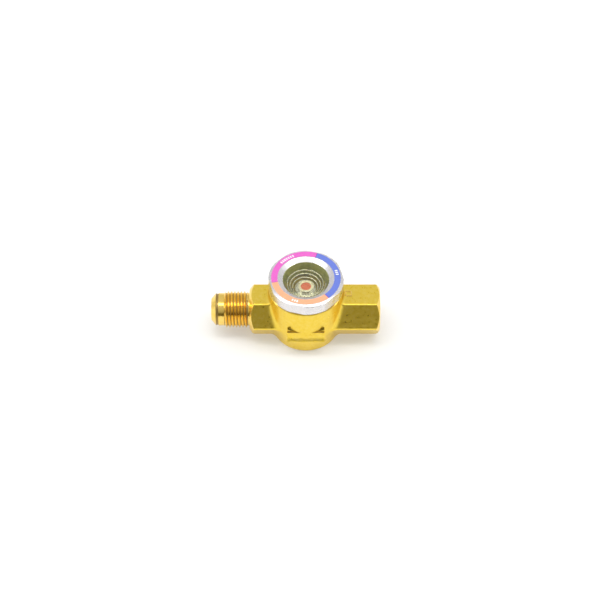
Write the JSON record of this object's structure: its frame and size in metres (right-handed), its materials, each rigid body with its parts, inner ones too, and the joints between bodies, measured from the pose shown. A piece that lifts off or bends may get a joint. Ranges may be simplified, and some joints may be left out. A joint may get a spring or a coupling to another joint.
{
  "type": "liquid line sight glass",
  "caption": "In-line brass sight glass with a moisture indicator under a hexagonal screw-in window, male flare at one end and female flare at the other.",
  "frame": {"origin": "centre of the round foot's resting face, under the sight axis", "axes": "+Z along the sight axis, from the foot to the window; +X along the flow axis, from the male end to the female end"},
  "size_m": [0.0728, 0.0332, 0.0327],
  "materials": {
    "forged_brass": "satin forged, bright where it is turned",
    "copper": "soft annealed copper",
    "cup_steel": "bright pressed steel",
    "felt": "pressed felt",
    "indicator_paper": "matt filter paper",
    "retainer_plastic": "matt moulded",
    "spring_steel": "drawn wire",
    "gasket_plastic": "matt fluoroplastic",
    "nickel": "bright nickel plate",
    "window_glass": "clear fused glass",
    "label_print": "printed in three colours"
  },
  "bodies": {
    "valve_body": {"body": "forged_brass", "flare_gasket": "copper", "indicator_cup": "cup_steel", "indicator_pad": "felt", "indicator_paper": "indicator_paper", "indicator_retainer": "retainer_plastic", "indicator_spring": "spring_steel"},
    "seal": {"ring_gasket": "gasket_plastic"},
    "window": {"window_ring": "nickel", "sight_glass": "window_glass", "reference_label": "label_print"}
  },
  "joints": [
    {"name": "window_lift", "type": "slide", "parent": "valve_body", "child": "seal", "axis": [0, 0, 1], "range_m": [0, 0.00575]},
    {"name": "window_turn", "type": "hinge", "parent": "seal", "child": "window", "pos_m": [0, 0, 0.0271], "axis": [0, 0, 1], "range_deg": [0, 2110]}
  ],
  "couplings": [
    {"joint": "window_turn", "follows": "window_lift", "rad_per_m": 6283.2}
  ]
}
